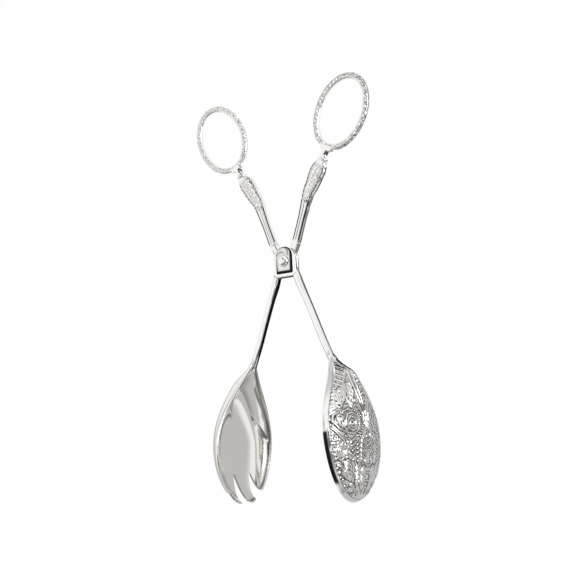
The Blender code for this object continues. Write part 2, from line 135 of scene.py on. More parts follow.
def silver(name, bright, worn, roughness, marks, clouds=38, shows_tarnish_and_painted_shade=True):
    """Silver plate: a bright and a slightly duller tone, wiping marks, and darkening by the recess values, which
    hold tarnish and painted shade.
    """
    material = bpy.data.materials.new(name)
    material.use_nodes = True
    tree = material.node_tree
    polish = tree.nodes.new("ShaderNodeGroup")
    polish.node_tree = plate_polish
    place = tree.nodes.new("ShaderNodeTexCoord").outputs["Object"]
    fed(tree, polish, {"Place": place, "Marks per metre": 900, "Marks": marks, "Clouds per metre": clouds})
    colour = blended(tree, polish.outputs["Tint"], (*bright, 1), (*worn, 1))
    dullness = maths(tree, "ADD", polish.outputs["Roughness added"], roughness)
    if shows_tarnish_and_painted_shade:
        # The recess value darkens the colour for tarnish and also paints shade and dark reflections.
        recess = tree.nodes.new("ShaderNodeAttribute")
        recess.attribute_name = "recess"
        colour = blended(tree, recess.outputs["Fac"], colour, tarnish_and_painted_shade_tone)
        dullness = maths(tree, "MULTIPLY_ADD", recess.outputs["Fac"], 0.25, dullness)
    bump = made(tree, "ShaderNodeBump", {"Distance": 0.02 * MM, "Strength": 0.4, "Height": polish.outputs["Height"]})
    fed(tree, tree.nodes["Principled BSDF"], {"Metallic": 1, "Base Color": colour, "Roughness": dullness,
                                              "Normal": bump.outputs["Normal"]})
    return material


def unit(values):
    """Values held between nothing and one."""
    return np.clip(values, 0, 1)


def eased(table, share):
    """Read (share along, value) rows with an eased step between rows."""
    starts, levels = np.array(table).T
    row = np.clip(np.searchsorted(starts, share), 1, len(table) - 1)
    step = unit((share - starts[row - 1]) / (starts[row] - starts[row - 1]))
    return levels[row - 1] + (levels[row] - levels[row - 1]) * (3 - 2 * step) * step * step


def curve_through(knots, steps):
    """Points on a smooth curve through every knot."""
    padded = [2 * knots[0] - knots[1], *knots, 2 * knots[-1] - knots[-2]]
    points = []
    for a, b, c, d in zip(padded, padded[1:], padded[2:], padded[3:]):
        for index in range(steps):
            t = index / steps
            points.append(0.5 * (2 * b + (c - a) * t + (2 * a - 5 * b + 4 * c - d) * t ** 2
                                 + (3 * b - a - 3 * c + d) * t ** 3))
    return points + [knots[-1].copy()]


def shares_along(points):
    """Share of the whole length at each point of a path."""
    runs = [0]
    for a, b in zip(points, points[1:]):
        runs.append(runs[-1] + (b - a).length)
    return [run / runs[-1] for run in runs]


def knots_between(start, end, shares):
    """A start and the knots on a bent way to an end, at (across, along) shares of the run."""
    run = end - start
    return [start, *(start + Vector((run.x * across, run.y * along, 0)) for across, along in shares)]


def oval(half_width, half_height, squareness, count):
    """Points round a superellipse as a count x 2 array."""
    angle = np.arange(count) * tau / count
    x, y = np.cos(angle), np.sin(angle)
    return np.stack([half_width * np.sign(x) * np.abs(x) ** (2 / squareness),
                     half_height * np.sign(y) * np.abs(y) ** (2 / squareness)], 1)


def skin(rows, ends=True, ring=False):
    """A bmesh over rows of points, each row closed round the piece, outward when rows climb."""
    bm = bmesh.new()
    loops = [[bm.verts.new(point) for point in row] for row in rows]
    pairs = list(zip(loops, loops[1:])) + ([(loops[-1], loops[0])] if ring else [])
    for low, high in pairs:
        for k in range(len(low)):
            bm.faces.new((low[k - 1], low[k], high[k], high[k - 1]))
    if ends:
        for loop in (loops[0], loops[-1]):
            bm.faces.new(loop)
    return bm


def swept(points, outlines, start_scarf=0, end_scarf=0):
    """A bmesh swept along a path that lies in the plane of the servers; a scarf slants an end."""
    rows = []
    for index, (point, outline) in enumerate(zip(points, outlines)):
        ahead = points[min(index + 1, len(points) - 1)] - points[max(index - 1, 0)]
        along = np.array(ahead.normalized())
        across = np.array((-along[1], along[0], 0))
        scarf = start_scarf if index == 0 else end_scarf if index == len(points) - 1 else 0
        rows.append(np.array(point) + np.outer(outline[:, 0], across + along * scarf)
                    + np.outer(outline[:, 1], (0, 0, 1)))
    return skin(rows)


def spots_of(bm):
    """The places of a bmesh's points as an array."""
    return np.array([vert.co for vert in bm.verts])


def linked(name, data):
    """A new object in the scene."""
    obj = bpy.data.objects.new(name, data)
    bpy.context.collection.objects.link(obj)
    return obj


def solid(bm, name="guide"):
    """An object from a bmesh."""
    bmesh.ops.recalc_face_normals(bm, faces=bm.faces)
    mesh = bpy.data.meshes.new(name)
    bm.to_mesh(mesh)
    bm.free()
    return linked(name, mesh)


def finished(name, bm, arm, material, replaced, sharp=38):
    """Place a piece in the shared frame, give it its metal, tie it to its arm and hide the CAD node it stands for.
    """
    bmesh.ops.transform(bm, matrix=arm_places[arm], verts=bm.verts)
    obj = solid(bm, name)
    obj.data.materials.append(material)
    obj.data.shade_smooth()
    obj.data.set_sharp_from_angle(angle=radians(sharp))
    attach(obj, arm)
    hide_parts(replaced)


def evaluated(obj):
    """The mesh of an object with its modifiers applied."""
    bpy.context.view_layer.update()
    return bpy.data.meshes.new_from_object(obj.evaluated_get(bpy.context.evaluated_depsgraph_get()))


def shaped(base, *steps):
    """Join or cut a bmesh with others, from (operation, bmesh) pairs, and give back the result."""
    guides = [solid(base)]
    for operation, other in steps:
        guides.append(solid(other))
        modifier = guides[0].modifiers.new(operation, "BOOLEAN")
        modifier.operation = operation
        modifier.solver = "EXACT"
        modifier.object = guides[-1]
    mesh = evaluated(guides[0])
    for obj in guides:
        bpy.data.objects.remove(obj, do_unlink=True)
    bm = bmesh.new()
    bm.from_mesh(mesh)
    bpy.data.meshes.remove(mesh)
    return bm


def darken_for_tarnish_and_painted_shade(bm, values):
    """Write how dark each point is, for the metal to darken there; it holds tarnish and painted shade."""
    layer = bm.verts.layers.float.new("recess")
    for vert, value in zip(bm.verts, values):
        vert[layer] = float(value)


def stacked(levels):
    """A solid from (flat outline, height along the rivet) pairs."""
    return skin([np.c_[np.array(outline), np.full(len(outline), height)] for outline, height in levels])


def prism(outline, low, high):
    """A flat outline stood up along the rivet from one height to another."""
    return stacked([(outline, low), (outline, high)])


def polar(x, y, reach, turn):
    """The point at a reach and a turn from a centre."""
    return x + reach * cos(turn), y + reach * sin(turn)


def arc(x, y, radius, start, end, steps=26, end_radius=None):
    """Points on an arc, or on a scroll where the radius changes, between two angles in degrees."""
    points = []
    for k in range(steps + 1):
        turn = radians(start + (end - start) * k / steps)
        reach = radius + ((radius if end_radius is None else end_radius) - radius) * k / steps
        points.append(polar(x, y, reach, turn))
    return points


def arched_outline(width, top, bottom, corner_radius, inset=0):
    """Tombstone outline: round head, straight sides, flat foot with eased corners."""
    half = width / 2 - inset
    corner = max(corner_radius - inset, 0.05 * MM)
    side = half - corner
    foot = corner - (bottom - inset)
    return (arc(0, top - width / 2, half, 0, 180, 48)
            + arc(-side, foot, corner, 180, 270, 10) + arc(side, foot, corner, 270, 360, 10))


def eased_slab(shape, low, high, edge, crown=()):
    """An arched slab with rounded edges, from its outline's sizes; crown rows (inset, rise) dome it."""
    turns = [pi / 2 * k / 4 for k in range(5)]
    rows = [(edge * (1 - sin(turn)), low + edge * (1 - cos(turn))) for turn in turns]
    rows += [(inset, low + high - height) for inset, height in reversed(rows)]
    rows += [(inset, high + rise) for inset, rise in crown]
    return stacked([(arched_outline(*shape, inset), height) for inset, height in rows])


def painted_rod_reflection(bm, path, half_width, half_thickness):
    """A painted dark reflection in a line along a rod's inner side, between two bearings in degrees round the rod.
    """
    spots, middle = spots_of(bm), np.array(path)
    reach = spots[:, None, :2] - middle[None, :, :2]
    nearest = np.argmin(np.hypot(reach[..., 0], reach[..., 1]), axis=1)
    way = np.gradient(middle, axis=0)
    way /= np.linalg.norm(way, axis=1)[:, None]
    off = reach[np.arange(len(spots)), nearest]
    sideways = (off[:, 1] * way[nearest, 0] - off[:, 0] * way[nearest, 1]) / half_width
    bearing = np.degrees(np.arctan2(spots[:, 2] / half_thickness, sideways)) % 360
    share = nearest / (len(middle) - 1)
    start = 140 + 60 * unit((share - 0.6) / 0.4) ** 1.5
    end = 236 - 14 * np.abs(2 * share - 1) ** 1.5
    round_rod = unit((bearing - start) / 6) * unit((end - bearing) / 6)
    return round_rod * unit((share - 0.1) / 0.05) * unit((0.98 - share) / 0.05)


running_gap, seat_gap = 0.3 * MM, 0.3 * MM
lug_width, lug_top, lug_bottom, lug_corner = 16.4 * MM, 9.5 * MM, 10 * MM, 3 * MM
lug_thickness, lug_edge = 2.6 * MM, 0.45 * MM
lug_floor = running_gap / 2
lug_face = lug_floor + lug_thickness
lug_reach = hypot(lug_width / 2 - lug_corner, lug_bottom - lug_corner) + lug_corner
lap_outline = (arc(0, 0, lug_top + running_gap, 0, 180, 72)
               + arc(0, 0, lug_reach + running_gap, 180, 360, 72))
bore_outline = arc(0, 0, 2.5 * MM, 0, 352.5, 47)
plate_width, plate_top, plate_bottom = 10.8 * MM, 8.7 * MM, 7.2 * MM
plate_recess, seat_rim = 0.5 * MM, 0.7 * MM
seat_outline = arched_outline(plate_width + 2 * seat_rim, plate_top + seat_rim, plate_bottom + seat_rim, 0.9 * MM)
seat_level = lug_face - plate_recess

rod_half_width, rod_half_thickness, scarf = 4.5 * MM / 2, 4 * MM / 2, -1.6
rod_widths = ((0, 1.2), (0.14, 1.14), (0.34, 1), (0.86, 1), (1, 0.96))
rod_depths = ((0, 1.27), (0.12, 1.24), (0.38, 1), (1, 1))
shank_foot = Vector((27.6 * MM, -60.8 * MM, 0))
shank_root = Vector((lug_width * 0.34, -lug_bottom * 0.5, 0))
shank_knots = knots_between(shank_root, shank_foot, ((0.095, 0.094), (0.168, 0.182), (0.348, 0.353),
                                                     (0.578, 0.582), (0.803, 0.815)))
shank_path = curve_through([*shank_knots, shank_foot], 12)
rod_outlines = [oval(rod_half_width * eased(rod_widths, share), rod_half_thickness * eased(rod_depths, share),
                     2.3, 48) for share in shares_along(shank_path)]

handle_half_width, handle_half_thickness, handle_foot_share = 5.8 * MM, 2.4 * MM, 0.54
handle_foot = Vector((-8.4 * MM, 11.4 * MM, 0))
collar_centre = Vector((-31.1 * MM, 61.3 * MM, 0))
handle_knots = knots_between(handle_foot, collar_centre, ((0.055, 0.064), (0.259, 0.328), (0.461, 0.588),
                                                          (0.634, 0.718), (0.767, 0.834)))
stub_way = (handle_knots[1] - handle_foot).normalized()
stub_root = Vector((-lug_width * 0.3, lug_top * 0.45, 0))
stub_top = handle_foot - stub_way * seat_gap
stub_points = [stub_root.lerp(stub_top, 0.7 * k / 8) for k in range(9)]
stub_points += [stub_top - stub_way * seat_gap, stub_top]
stub_outline = oval(handle_half_width * handle_foot_share, handle_half_thickness, 2.6, 48)

polished_silver = silver("polished_silver", (0.95, 0.94, 0.925), (0.9, 0.89, 0.87), 0.035, 0.06)
for arm, takes_plate in (("spoon_arm", True), ("fork_arm", False)):
    steps = [("UNION", swept(shank_path, rod_outlines, end_scarf=scarf)),
             ("UNION", swept(stub_points, [stub_outline] * len(stub_points))),
             ("DIFFERENCE", prism(lap_outline, -2 * lug_face, lug_floor)),
             ("DIFFERENCE", prism(bore_outline, -lug_face, 2 * lug_face))]
    if takes_plate:
        steps.append(("DIFFERENCE", prism(seat_outline, seat_level, 2 * lug_face)))
    bm = shaped(eased_slab((lug_width, lug_top, lug_bottom, lug_corner), lug_floor, lug_face, lug_edge), *steps)
    if takes_plate:
        # Painted shade: the floor of the pivot plate's seat is darkened.
        darken_for_tarnish_and_painted_shade(bm, [abs(vert.co.z - seat_level) < 0.02 * MM and vert.co.length < 12 * MM for vert in bm.verts])
    else:
        # Painted dark reflection along the inner side of the fork arm's rod.
        darken_for_tarnish_and_painted_shade(bm, painted_rod_reflection(bm, shank_path, rod_half_width, rod_half_thickness))
    finished(arm + "_forging", bm, arm, polished_silver, arm + "_shank", sharp=32)

# Pivot plate
# An arched plate of plated brass, let into the spoon arm's lug under the rivet's head. Its edge is
# eased and its face slightly crowned. Painted shade lies beside it in the seat and on its edges, a painted
# dark reflection lies along its +X side and its foot, and darker streaks run over its head.
plate_corner, plate_edge, plate_rise, rise_reach = 0.4 * MM, 0.22 * MM, 0.3 * MM, 5.2 * MM
plate_floor = seat_level + seat_gap
plate_face = plate_floor + 1 * MM
plate_crown = [(inset * MM, plate_rise * (1 - (1 - (inset * MM - plate_edge) / rise_reach) ** 2))
               for inset in (0.5, 0.8, 1.2, 1.6, 2, 2.5, 3, 3.5, 4)]
hub_silver = silver("hub_silver", (1, 0.99, 0.975), (0.55, 0.545, 0.535), 0.07, 0.08, clouds=190)
cover = shaped(eased_slab((plate_width, plate_top, plate_bottom, plate_corner), plate_floor, plate_face, plate_edge,
                          plate_crown), ("DIFFERENCE", prism(bore_outline, 0, 2 * plate_face)))
spots = spots_of(cover)
above_centre = spots[:, 1] - plate_top + plate_width / 2
streaks = np.sin(3 * np.arctan2(above_centre, spots[:, 0]) - 1.6 * np.hypot(spots[:, 0], above_centre) / MM)
# Painted dark reflection along the plate's +X side and its foot, with darker streaks over its head; its edges below
# the face take painted shade.
grime_and_painted_shade = np.maximum(unit((spots[:, 0] - plate_width * 0.5 + 1 * MM) / (0.5 * MM)),
                   unit((1.4 * MM - plate_bottom - spots[:, 1]) / (0.5 * MM)))
grime_and_painted_shade = np.maximum(grime_and_painted_shade, np.clip(1.3 * streaks - 0.6, 0, 0.6) * (above_centre > 0))
darken_for_tarnish_and_painted_shade(cover, np.where(spots[:, 2] < plate_face - 0.3 * MM, 1, grime_and_painted_shade))
finished("pivot_cover", cover, "spoon_arm", hub_silver, "pivot_plate", sharp=32)

# Washer
# A plain washer of bright steel behind the fork arm's lug. It sits on the rivet's shank, and the
# rivet is closed down on it.
washer_steel = silver("washer_steel", (0.72, 0.72, 0.71), (0.6, 0.6, 0.59), 0.2, 0.15, shows_tarnish_and_painted_shade=False)
washer = frame["nodes"]["pivot_washer"]
washer.data.materials.clear()
washer.data.materials.append(washer_steel)

# Rivet
# A plated rivet: a domed head in front, and a low button behind that was hammered over the washer.
# The seam under the head is darkened with painted shade.


def turned(profile, segments):
    """A solid of revolution about the rivet's line, from (radius, height) points."""
    bm = bmesh.new()
    rings = []
    for radius, height in profile:
        turns = [tau * k / segments for k in range(segments if radius else 1)]
        rings.append([bm.verts.new((*polar(0, 0, radius, turn), height)) for turn in turns])
    for low, high in zip(rings, rings[1:]):
        for k in range(segments):
            lower = low if len(low) == 1 else [low[k - 1], low[k]]
            upper = high if len(high) == 1 else [high[k], high[k - 1]]
            bm.faces.new(lower + upper)
    return bm


head_radius, head_height, tail_radius, tail_height = 3.7 * MM, 1.9 * MM, 3.5 * MM, 1.1 * MM
pin_radius, washer_thickness = 2.2 * MM, 0.8 * MM
head_floor = plate_face + seat_gap
tail_top = -(lug_face + seat_gap + washer_thickness + seat_gap)
rivet_profile = [(tail_radius * sin(turn), tail_top - tail_height * cos(turn))
                 for turn in (pi / 2 * k / 12 for k in range(13))]
rivet_profile += [(pin_radius, tail_top), (pin_radius, head_floor)]
rivet_profile += [(head_radius * cos(turn), head_floor + head_height * sin(turn))
                  for turn in (pi / 2 * k / 21 for k in range(21))]
rivet = turned([*rivet_profile, (0, head_floor + head_height)], 96)
# Painted shade on the pin and the foot of the head, under the head's rim.
darken_for_tarnish_and_painted_shade(rivet, [0 < vert.co.z < head_floor + 0.3 * MM for vert in rivet.verts])
finished("rivet", rivet, "spoon_arm", polished_silver, "pivot_rivet")

# Handles
# Cast handles in silver plate, brazed to the forging's stub and to the collar. The broad upper end
# carries an embossed leaf spray between raised borders, and plain flutes run down to the hub.


def split(tree, place):
    """The X, Y and Z of a place."""
    return made(tree, "ShaderNodeSeparateXYZ", {0: place}).outputs


def sprig_tree():
    """Geometry Nodes: a small veined leaf on every point, turned and sized by the point's attributes."""
    tree, given, result = node_group(
        "leaf_sprigs", "GeometryNodeTree",
        (("Places", "Geometry"), ("Leaf length", "Float"), ("Leaf width", "Float"), ("Leaf height", "Float"),
         ("Metal", "Material")), (("Leaves", "Geometry"),))
    given = given.outputs
    ball = made(tree, "GeometryNodeMeshUVSphere", {"Segments": 10, "Rings": 6, "Radius": 1})
    x, y, z = split(tree, tree.nodes.new("GeometryNodeInputPosition").outputs[0])
    pinch = maths(tree, "MULTIPLY_ADD", product(tree, x, x), -0.7, 1)
    vein = maths(tree, "MINIMUM", maths(tree, "MULTIPLY_ADD", maths(tree, "ABSOLUTE", y), 1.6, 0.45), 1)
    joined = made(tree, "ShaderNodeCombineXYZ", {"X": product(tree, x, 0.5, given["Leaf length"]),
                                                 "Y": product(tree, y, 0.5, pinch, given["Leaf width"]),
                                                 "Z": product(tree, z, vein, given["Leaf height"])})
    leaf = made(tree, "GeometryNodeSetPosition", {"Geometry": ball.outputs["Mesh"], "Position": joined.outputs[0]})
    turn, size = (tree.nodes.new("GeometryNodeInputNamedAttribute") for _ in range(2))
    turn.data_type, size.data_type = "FLOAT_VECTOR", "FLOAT"
    turn.inputs["Name"].default_value, size.inputs["Name"].default_value = "turn", "size"
    facing = made(tree, "FunctionNodeEulerToRotation", {0: turn.outputs["Attribute"]})
    spread = made(tree, "GeometryNodeInstanceOnPoints", {
        "Points": given["Places"], "Instance": leaf.outputs["Geometry"], "Rotation": facing.outputs[0],
        "Scale": size.outputs["Attribute"]})
    real = made(tree, "GeometryNodeRealizeInstances", {"Geometry": spread.outputs["Instances"]})
    metal = made(tree, "GeometryNodeSetMaterial", {"Geometry": real.outputs["Geometry"], "Material": given["Metal"]})
    fed(tree, result, {"Leaves": metal.outputs["Geometry"]})
    return tree


leaf_sprigs = sprig_tree()


def lay_leaves(bm, places, length, width, height, metal):
    """Add leaves to a piece at (point, way along the leaf, way out, size) places."""
    points = bpy.data.meshes.new("leaf_places")
    points.from_pydata([tuple(place[0]) for place in places], [], [])
    turns, sizes = [], []
    for _, along, out, size in places:
        out = Vector(out).normalized()
        side = out.cross(Vector(along)).normalized()
        turns.extend(Matrix((side.cross(out), side, out)).transposed().to_euler())
        sizes.append(size)
    points.attributes.new("turn", "FLOAT_VECTOR", "POINT").data.foreach_set("vector", turns)
    points.attributes.new("size", "FLOAT", "POINT").data.foreach_set("value", sizes)
    guide = linked("leaf_places", points)
    modifier = guide.modifiers.new("leaves", "NODES")
    modifier.node_group = leaf_sprigs
    sockets = {item.name: item.identifier for item in leaf_sprigs.interface.items_tree}
    for name, value in (("Leaf length", length), ("Leaf width", width), ("Leaf height", height), ("Metal", metal)):
        modifier[sockets[name]] = value
    leaves = evaluated(guide)
    guide.modifiers.remove(modifier)
    bpy.data.objects.remove(guide, do_unlink=True)
    bm.from_mesh(leaves)
    bpy.data.meshes.remove(leaves)


def hump(distance, width):
    """A smooth hump, one at no distance and nothing from its width on."""
    share = np.minimum(np.abs(distance) / width, 1)
    return (1 - share) ** 2 * (1 + 2 * share)


stem_lean = radians(28.1)
stem_way = Vector((-sin(stem_lean), cos(stem_lean), 0))
collar_half = 1.1 * MM + seat_gap
handle_path = curve_through([*handle_knots, collar_centre - stem_way * collar_half], 48)
handle_shares = shares_along(handle_path)
end_way = (handle_path[-1] - handle_path[-2]).normalized()
collar_scarf = -Vector((-end_way.y, end_way.x, 0)).dot(stem_way) / end_way.dot(stem_way)
handle_widths = ((0, handle_foot_share), (0.12, 0.52), (0.27, 0.52), (0.42, 0.6), (0.55, 0.73), (0.68, 0.87),
                 (0.8, 0.96), (0.88, 1), (0.95, 0.86), (1, 0.58))
handle_depths = ((0, 1), (0.45, 0.86), (0.85, 1), (1, 0.92))
relief_shares = ((0, 0), (0.05, 1), (0.93, 1), (0.985, 0), (1, 0))
panel_start, panel_end = 0.52, 0.955
panel_shares = ((0, 0), (panel_start - 0.05, 0), (panel_start, 1), (panel_end, 1), (0.985, 0), (1, 0))
border_inset, border_depth, panel_depth = 0.95 * MM, 0.24 * MM, 0.38 * MM
flute_place, flute_depth, groove_reach, keel_reach = 0.68, 0.34 * MM, 0.5 * MM, 0.4 * MM


def handle_row(share, grime_and_painted_shade, grime_reach):
    """A handle's outline at a share of its length, with its relief cut in, and the tarnish round it."""
    half_width = handle_half_width * eased(handle_widths, share)
    half_thickness = handle_half_thickness * eased(handle_depths, share)
    outline = oval(half_width, half_thickness, 2.6, 160)
    across, signed = np.abs(outline[:, 0]), outline[:, 0] / MM
    faces = eased(relief_shares, share) * unit(np.abs(outline[:, 1]) / half_thickness * 3 - 1.5)
    panel = eased(panel_shares, share)
    inside = half_width - border_inset - across
    from_border, from_flute = 0.3 * MM - inside, across - flute_place * half_width
    sunk = (unit(inside / groove_reach) * panel_depth * panel + hump(from_border, groove_reach) * border_depth
            + (hump(from_flute, groove_reach) + 0.6 * hump(across, keel_reach)) * flute_depth * (1 - panel)) * faces
    specks = unit(np.sin(signed * 3.3 + share * 160) * np.sin(signed * 2.1 - share * 190) * 1.8 + 0.5)
    dark = (hump(from_border, grime_reach) * (0.25 + 0.75 * np.sin(share * 60) ** 2) * panel
            + (grime_and_painted_shade * hump(from_flute, grime_reach) + 0.7 * hump(across, keel_reach)) * (1 - panel)
            + 0.6 * panel * unit(inside / keel_reach) * specks) * faces
    outline[:, 1] -= np.sign(outline[:, 1]) * np.minimum(sunk, np.abs(outline[:, 1]) * 0.8)
    return outline, unit(dark)


def leaf_spray(stations=13):
    """Places for leaves on both faces of a handle's panel: a winding row with a leaf on either hand."""
    places = []
    for k in range(stations):
        share = panel_start + 0.03 + (panel_end - panel_start - 0.08) * k / (stations - 1)
        index = int(np.searchsorted(handle_shares, share))
        way = (handle_path[min(index + 1, len(handle_path) - 1)] - handle_path[index - 1]).normalized()
        side = Vector((-way.y, way.x, 0))
        room = handle_half_width * eased(handle_widths, share) - 1.5 * MM
        level = handle_half_thickness * eased(handle_depths, share) - 0.36 * MM
        wind = sin(k * 1.9) * 0.25
        for face in (1, -1):
            out, middle = (0, 0, face), handle_path[index] + Vector((0, 0, level * face))
            for hand in (1, -1):
                lean = 0.75 + 0.35 * sin(k * 2.3 + hand)
                places.append((middle + side * (room * (0.52 * hand + wind * 0.3)),
                               way * cos(lean) + side * (hand * sin(lean)), out,
                               0.62 + 0.4 * room / (4.3 * MM)))
            places.append((middle + side * (room * wind), way + side * (0.5 * cos(k * 1.9)), out, 0.8))
    return places


cast_silver = silver("cast_silver", (0.95, 0.94, 0.92), (0.9, 0.89, 0.865), 0.06, 0.07)
for arm, grime_and_painted_shade, grime_reach in (("spoon_arm", 1.7, 0.62 * MM), ("fork_arm", 2.5, 0.78 * MM)):
    outlines, dark = zip(*(handle_row(share, grime_and_painted_shade, grime_reach) for share in handle_shares))
    bm = swept(handle_path, outlines, end_scarf=collar_scarf)
    darken_for_tarnish_and_painted_shade(bm, np.concatenate(dark))
    lay_leaves(bm, leaf_spray(), 3.3 * MM, 1.6 * MM, 0.44 * MM, cast_silver)
    finished(arm + "_grip", bm, arm, cast_silver, arm + "_handle", sharp=50)

# Collars
# A plain turned bead in polished silver plate on each arm, a little broader than it is thick.
# It covers the joint between ring and handle and is brazed to both.
collar_length, collar_half_width, collar_half_thickness = 2.2 * MM, 3.7 * MM, 2.7 * MM
for arm in arm_places:
    points, outlines = [], []
    for share in np.arange(25) / 24:
        swell = sqrt(1 - (0.72 * (2 * share - 1)) ** 2)
        points.append(collar_centre + stem_way * (collar_length * (0.5 - share)))
        outlines.append(oval(collar_half_width * swell, collar_half_thickness * swell, 2.2, 72))
    finished(arm + "_bead", swept(points, outlines), arm, polished_silver, arm + "_collar")

# Finger rings
# Cast oval rings in silver plate, covered outside with small overlapping leaves on a sunk ground and
# plain inside. A smooth stem, with two marks of painted shade on each side where cuts would be, reaches
# down to the collar.
ring_centre = collar_centre + stem_way * (31.63 * MM)
ring_lean = radians(27.2)
band_width, band_thickness, leaf_rise = 4.4 * MM, 3.4 * MM, 0.28 * MM
ground_reach, ground_rise = band_width / 2 - 0.5 * leaf_rise, band_thickness / 2 - leaf_rise
long_way = Vector((-sin(ring_lean), cos(ring_lean), 0))
wide_way = Vector((cos(ring_lean), sin(ring_lean), 0))
half_long, half_wide = (50.6 * MM - band_width) / 2, (37.8 * MM - band_width) / 2
# Lines of the painted shade marks on each side of the neck, where cuts would be, in millimetres up and beside the
# stem.
painted_neck_shade = (((3.1, 0.4), (5.5, 1.1)), ((3, 2.2), (4.8, 1.9)))


def ring_station(angle):
    """Middle of the ring's band at an angle, and the way outward from it."""
    middle = ring_centre + long_way * (half_long * cos(angle)) + wide_way * (half_wide * sin(angle))
    outward = long_way * (half_wide * cos(angle)) + wide_way * (half_long * sin(angle))
    return middle, outward.normalized()


def gap_to(places, line):
    """How far each place is from a drawn line."""
    gaps = []
    for first, second in zip(line, line[1:]):
        run = second - first
        share = unit((places - first) @ run / max(float(run @ run), 1e-9))
        gaps.append(np.hypot(*(places - first - np.outer(share, run)).T))
    return np.min(gaps, axis=0)


def ring_tarnish_and_painted_shade(bm, grime_and_painted_shade):
    """The ground between the leaves is dark and two marks of painted shade lie on each side of the neck; the rest is
    bright.
    """
    spots = spots_of(bm)
    flat, above = spots - np.array(ring_centre), spots - np.array(collar_centre)
    reach = np.hypot(flat @ np.array(long_way) / half_long, flat @ np.array(wide_way) / half_wide)
    rough = 0.5 + 0.5 * np.sin(spots[:, 0] / MM * 5.1) * np.sin(spots[:, 1] / MM * 4.3 + spots[:, 2] / MM * 3.7)
    rise = above @ np.array(stem_way)
    beside = np.sign(spots[:, 2]) * (above @ np.array((stem_way.y, -stem_way.x, 0)))
    ground = grime_and_painted_shade * np.where(reach > 0.955, 0.2 + 0.8 * rough ** 1.5, 0) * unit((rise - 8.6 * MM) / (0.8 * MM))
    # Painted shade where the neck's cuts would be.
    for cut in painted_neck_shade:
        ground = np.maximum(ground, unit(1.9 - gap_to(np.stack([rise, beside], 1) / MM, np.array(cut)) / 0.35))
    return ground


def ring_leaves(stations=46, plain_to=8.4 * MM):
    """Places for six rows of leaves round the band, each row leaning against the next."""
    places = []
    for station in range(stations):
        for row, (around, hand) in enumerate(((-88, 1), (-30, -1), (20, 1), (68, -1), (112, 1), (-128, -1))):
            angle = tau * (station + 0.5 * (row % 2) + 0.16 * sin(station * 2.7 + row)) / stations
            middle, outward = ring_station(angle)
            ahead = ring_station(angle + 0.01)[0] - middle
            turn = radians(around + 7 * sin(station * 1.7 + 2 * row))
            rise = Vector((0, 0, 1))
            out = outward * cos(turn) + rise * sin(turn)
            spot = (middle + outward * (cos(turn) * ground_reach * 0.97)
                    + rise * (sin(turn) * ground_rise * 0.99))
            lean = 0.55 + 0.3 * sin(station * 1.3 + row)
            along = ahead.normalized() * cos(lean) + out.cross(ahead).normalized() * (hand * sin(lean))
            if (spot - collar_centre).dot(stem_way) > plain_to:
                places.append((spot, along, out, 0.92 + 0.16 * sin(station * 3.1 + row)))
    return places


band = oval(ground_reach, ground_rise, 2.6, 44)
band_rows = []
for station in range(300):
    middle, outward = ring_station(tau * station / 300)
    band_rows.append(np.array(middle) + np.outer(band[:, 0], outward) + np.outer(band[:, 1], (0, 0, 1)))
stem_top, stem_base = ring_centre - stem_way * half_long, collar_centre + stem_way * collar_half
stem_points = [stem_top.lerp(stem_base, k / 40) for k in range(41)]
stem_width, stem_flare, stem_thickness = 4.4 * MM, 7.6 * MM, 3.6 * MM
stem_outlines = []
for share in shares_along(stem_points):
    width = stem_width + stem_flare * eased(((0, 1), (0.22, 0.74), (0.62, 0), (0.8, 0), (1, 0.1)), share)
    thickness = band_thickness * 0.94 + (stem_thickness - band_thickness) * share
    stem_outlines.append(oval(width / 2, thickness / 2, 2.4, 48))
for arm, grime_and_painted_shade in (("spoon_arm", 0.65), ("fork_arm", 0.95)):
    bm = shaped(skin(band_rows, ends=False, ring=True), ("UNION", swept(stem_points, stem_outlines)))
    darken_for_tarnish_and_painted_shade(bm, ring_tarnish_and_painted_shade(bm, grime_and_painted_shade))
    lay_leaves(bm, ring_leaves(), 3.1 * MM, 1.5 * MM, leaf_rise, cast_silver)
    finished(arm + "_finger_ring", bm, arm, cast_silver, arm + "_ring", sharp=50)

# Bowls
# Both bowls are pressed from sheet metal, with a solid root that is scarfed to the shank. The fork's
# is cut into four tines, and the spoon's back is embossed. Tarnish lies in the embossing; a painted dark
# reflection lies on part of the spoon's border, and painted shade in a line along the fork's rim.
bowl_length, bowl_depth, bowl_wall = 91 * MM, 12.8 * MM, 1.6 * MM
root_lean, tip_lean = radians(16.4), radians(-2.8)
heel_levels = ((0, 0.38), (0.2, 1.27), (0.6, 1), (1, 1))
last_out = 0.9986
cad_path = curve_through([*shank_knots, shank_foot], 3)
shank_end_way = (cad_path[-1] - cad_path[-2]).normalized()
bowl_root = shank_foot + shank_end_way * (seat_gap * hypot(1, scarf))


def bowl_half_width(share):
    """Half width of a bowl at a share of its length."""
    half, root, widest = 30.5 * MM, 2.3 * MM, 0.588
    reach = unit((share - widest) / (1 - widest))
    low = root + (half - root) * np.sin(pi / 2 * np.minimum(share, widest) / widest) ** 1.32
    return np.where(share > widest, half * np.sqrt(np.maximum(0, 1 - reach ** 1.9)), low)


def bowl_points(along, outward, across):
    """Points of a bowl from places along its arched rim, out of its back and across it."""
    arch = tip_lean - root_lean
    lean = root_lean + arch * along / bowl_length
    radius = bowl_length / arch
    return np.stack([bowl_root.x + radius * (cos(root_lean) - np.cos(lean)) + np.cos(lean) * outward,
                     bowl_root.y + radius * (sin(root_lean) - np.sin(lean)) + np.sin(lean) * outward,
                     across], -1)


